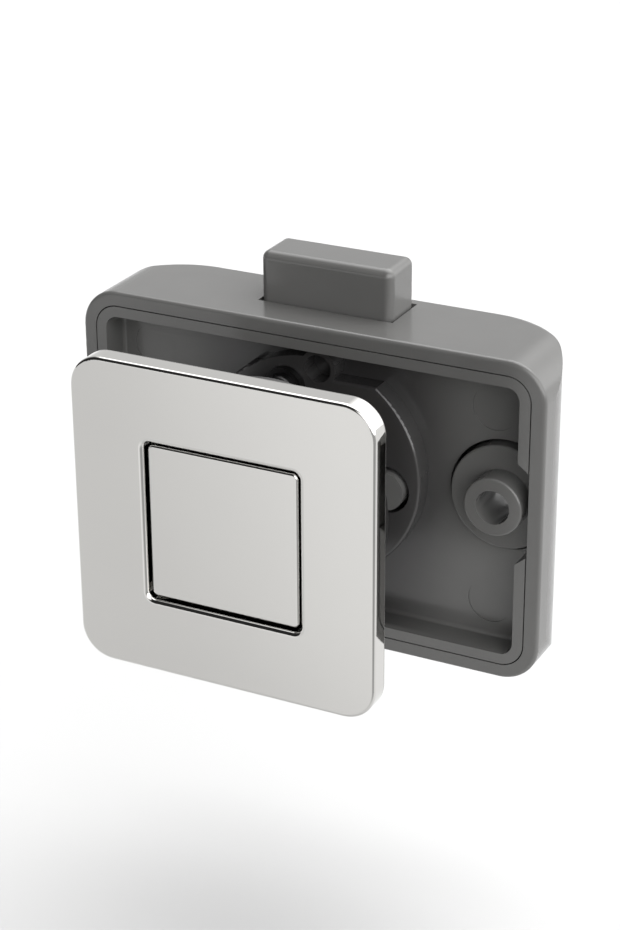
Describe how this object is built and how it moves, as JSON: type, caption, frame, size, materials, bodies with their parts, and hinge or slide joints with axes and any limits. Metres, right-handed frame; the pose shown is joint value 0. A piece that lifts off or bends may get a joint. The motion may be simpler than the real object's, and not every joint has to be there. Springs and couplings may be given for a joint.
{
  "type": "push button cabinet lock",
  "caption": "Rim-mounted cabinet lock: a square push button in a chrome plate draws a dead bolt out of the top of a grey case.",
  "frame": {"origin": "on the push button's axis, in the plane where the case meets the inner face of the door, midway between the two door screws", "axes": "+X to the right along the line of the door screws, +Y away from the door into the cabinet, +Z towards the bolt's tip"},
  "size_m": [0.0604, 0.0348, 0.0462],
  "materials": {
    "grey_plastic": "semi-gloss moulded grey plastic",
    "chrome_plate": "polished chrome plating",
    "zinc_steel": "zinc-plated steel",
    "spring_steel": "bright spring steel",
    "dark_steel": "blackened steel",
    "brass_parts": "turned brass",
    "black_plastic": "moulded black plastic",
    "white_plastic": "white acetal"
  },
  "bodies": {
    "case": {"case_shell": "grey_plastic", "case_tray": "grey_plastic", "spacer_bush_left": "grey_plastic", "spacer_bush_right": "grey_plastic", "case_screws": "zinc_steel", "hub_screws": "dark_steel", "plate_screws": "zinc_steel", "leaf_screw": "zinc_steel", "spring_washer": "zinc_steel", "return_spring": "spring_steel", "latch_wire": "spring_steel", "keeper_leaf": "spring_steel", "front_plate": "chrome_plate", "button_barrel": "chrome_plate", "threaded_sleeve": "brass_parts", "sleeve_flange": "dark_steel", "locknut": "dark_steel"},
    "button": {"button_cap": "chrome_plate", "button_core": "black_plastic", "core_screw": "zinc_steel", "heart_cam": "white_plastic", "plunger": "white_plastic", "cam_pin_left": "zinc_steel", "cam_pin_right": "zinc_steel"},
    "bolt": {"bolt": "grey_plastic"}
  },
  "joints": [
    {"name": "button_slide", "type": "slide", "parent": "case", "child": "button", "axis": [0, -1, 0], "range_m": [-0.0005, 0.0061], "deforming": ["return_spring", "latch_wire"]},
    {"name": "bolt_slide", "type": "slide", "parent": "case", "child": "bolt", "axis": [0, 0, -1], "range_m": [-0.0005, 0.0061]}
  ],
  "couplings": [
    {"joint": "bolt_slide", "follows": "button_slide", "ratio": 1}
  ]
}
